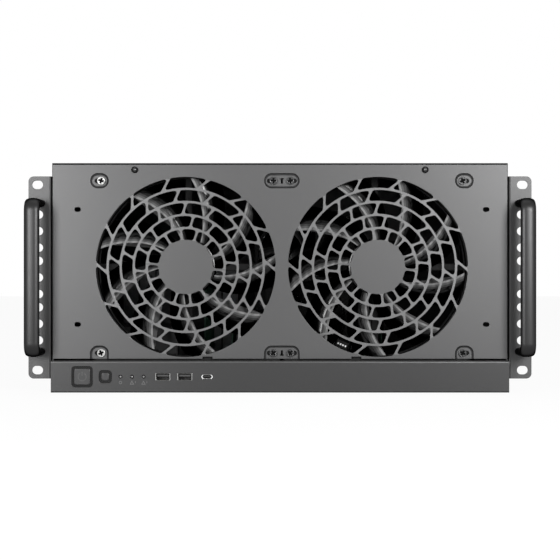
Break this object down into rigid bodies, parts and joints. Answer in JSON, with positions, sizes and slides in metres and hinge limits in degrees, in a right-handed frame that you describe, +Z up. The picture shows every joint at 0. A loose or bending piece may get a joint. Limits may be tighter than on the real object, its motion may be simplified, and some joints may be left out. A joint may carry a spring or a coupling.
{
  "type": "rackmount workstation",
  "caption": "Rackmount workstation in a grey steel chassis with round slotted fan grilles, bar handles, a front control strip and a sliding cover over its boards, cooler and drives.",
  "frame": {"origin": "on the base face, midway between the front panel and the rear panel and between the side walls", "axes": "+X to the right seen from the front, +Y from the front to the rear, +Z up"},
  "size_m": [0.4826, 0.4975, 0.219],
  "materials": {
    "panel_paint": "satin grey coating on steel sheet",
    "zinc_steel": "plain zinc-coated sheet",
    "screw_steel": "bright plated",
    "handle_black": "black anodised, satin",
    "fan_black": "moulded black",
    "control_plastic": "satin grey",
    "socket_plastic": "moulded black",
    "lens": "clear light pipe",
    "board": "solder mask",
    "sink": "extruded",
    "unit_case": "dark coated"
  },
  "bodies": {
    "chassis": {"front_panel": "panel_paint", "io_strip": "panel_paint", "left_ear": "panel_paint", "right_ear": "panel_paint", "left_side_wall": "panel_paint", "right_side_wall": "panel_paint", "floor_pan": "zinc_steel", "rear_panel": "zinc_steel", "slot_covers": "zinc_steel", "graphics_bracket": "zinc_steel", "drive_cage": "zinc_steel", "io_shield": "zinc_steel", "fan_screws": "screw_steel", "ear_screws": "screw_steel", "handle_screws": "screw_steel", "psu_screws": "screw_steel", "rear_fan_screws": "screw_steel", "snap_studs": "screw_steel", "board_standoffs": "screw_steel", "io_board_posts": "screw_steel", "usb_a_shells": "screw_steel", "usb_c_shell": "screw_steel", "rear_ports": "screw_steel", "processor": "screw_steel", "left_handle": "handle_black", "right_handle": "handle_black", "left_fan_frame": "fan_black", "right_fan_frame": "fan_black", "cooler_fan_frame": "fan_black", "rear_fan_frame": "fan_black", "fan_plug": "fan_black", "button_switches": "socket_plastic", "usb_a_tongues": "socket_plastic", "usb_c_tongue": "socket_plastic", "expansion_connectors": "socket_plastic", "memory_sockets": "socket_plastic", "processor_socket": "socket_plastic", "board_power_sockets": "socket_plastic", "ac_inlet": "socket_plastic", "status_lenses": "lens", "io_board": "board", "motherboard": "board", "graphics_board": "board", "memory_modules": "board", "processor_heatsink": "sink", "chipset_heatsink": "sink", "psu_case": "unit_case", "disk_drives": "unit_case", "graphics_cooler": "unit_case"},
    "cover": {"top_cover": "panel_paint", "cover_thumbscrews": "screw_steel"},
    "power_button": {"power_button": "control_plastic"},
    "reset_button": {"reset_button": "control_plastic"},
    "left_fan": {"left_fan_rotor": "fan_black"},
    "right_fan": {"right_fan_rotor": "fan_black"},
    "cooler_fan": {"cooler_fan_rotor": "fan_black"},
    "rear_fan": {"rear_fan_rotor": "fan_black"},
    "psu_fan": {"psu_fan_rotor": "fan_black"},
    "graphics_fan": {"graphics_fan_rotor": "fan_black"},
    "psu_switch": {"psu_switch": "socket_plastic"}
  },
  "joints": [
    {"name": "left_fan_spin", "type": "hinge", "parent": "chassis", "child": "left_fan", "pos_m": [-0.0888, -0.2, 0.1196], "axis": [0, -1, 0], "continuous": true},
    {"name": "right_fan_spin", "type": "hinge", "parent": "chassis", "child": "right_fan", "pos_m": [0.0924, -0.2, 0.1196], "axis": [0, -1, 0], "continuous": true},
    {"name": "cooler_fan_spin", "type": "hinge", "parent": "chassis", "child": "cooler_fan", "pos_m": [0.03, 0.045, 0.0643], "axis": [0, -1, 0], "continuous": true},
    {"name": "rear_fan_spin", "type": "hinge", "parent": "chassis", "child": "rear_fan", "pos_m": [0.03, 0.21, 0.13], "axis": [0, -1, 0], "continuous": true},
    {"name": "psu_fan_spin", "type": "hinge", "parent": "chassis", "child": "psu_fan", "pos_m": [0.13, 0.1438, 0.0762], "axis": [-1, 0, 0], "continuous": true},
    {"name": "graphics_fan_spin", "type": "hinge", "parent": "chassis", "child": "graphics_fan", "pos_m": [-0.11, 0.0429, 0.06945], "axis": [-1, 0, 0], "continuous": true},
    {"name": "power_press", "type": "slide", "parent": "chassis", "child": "power_button", "axis": [0, 1, 0], "range_m": [0, 0.0015], "stiffness_N_per_m": 1000, "springref_m": -0.001},
    {"name": "reset_press", "type": "slide", "parent": "chassis", "child": "reset_button", "axis": [0, 1, 0], "range_m": [0, 0.0015], "stiffness_N_per_m": 1000, "springref_m": -0.001},
    {"name": "cover_slide", "type": "slide", "parent": "chassis", "child": "cover", "axis": [0, 1, 0], "range_m": [0, 0.02]},
    {"name": "psu_switch_rock", "type": "hinge", "parent": "chassis", "child": "psu_switch", "pos_m": [0.161, 0.2223, 0.0932], "axis": [1, 0, 0], "range_deg": [-16, 0]}
  ]
}
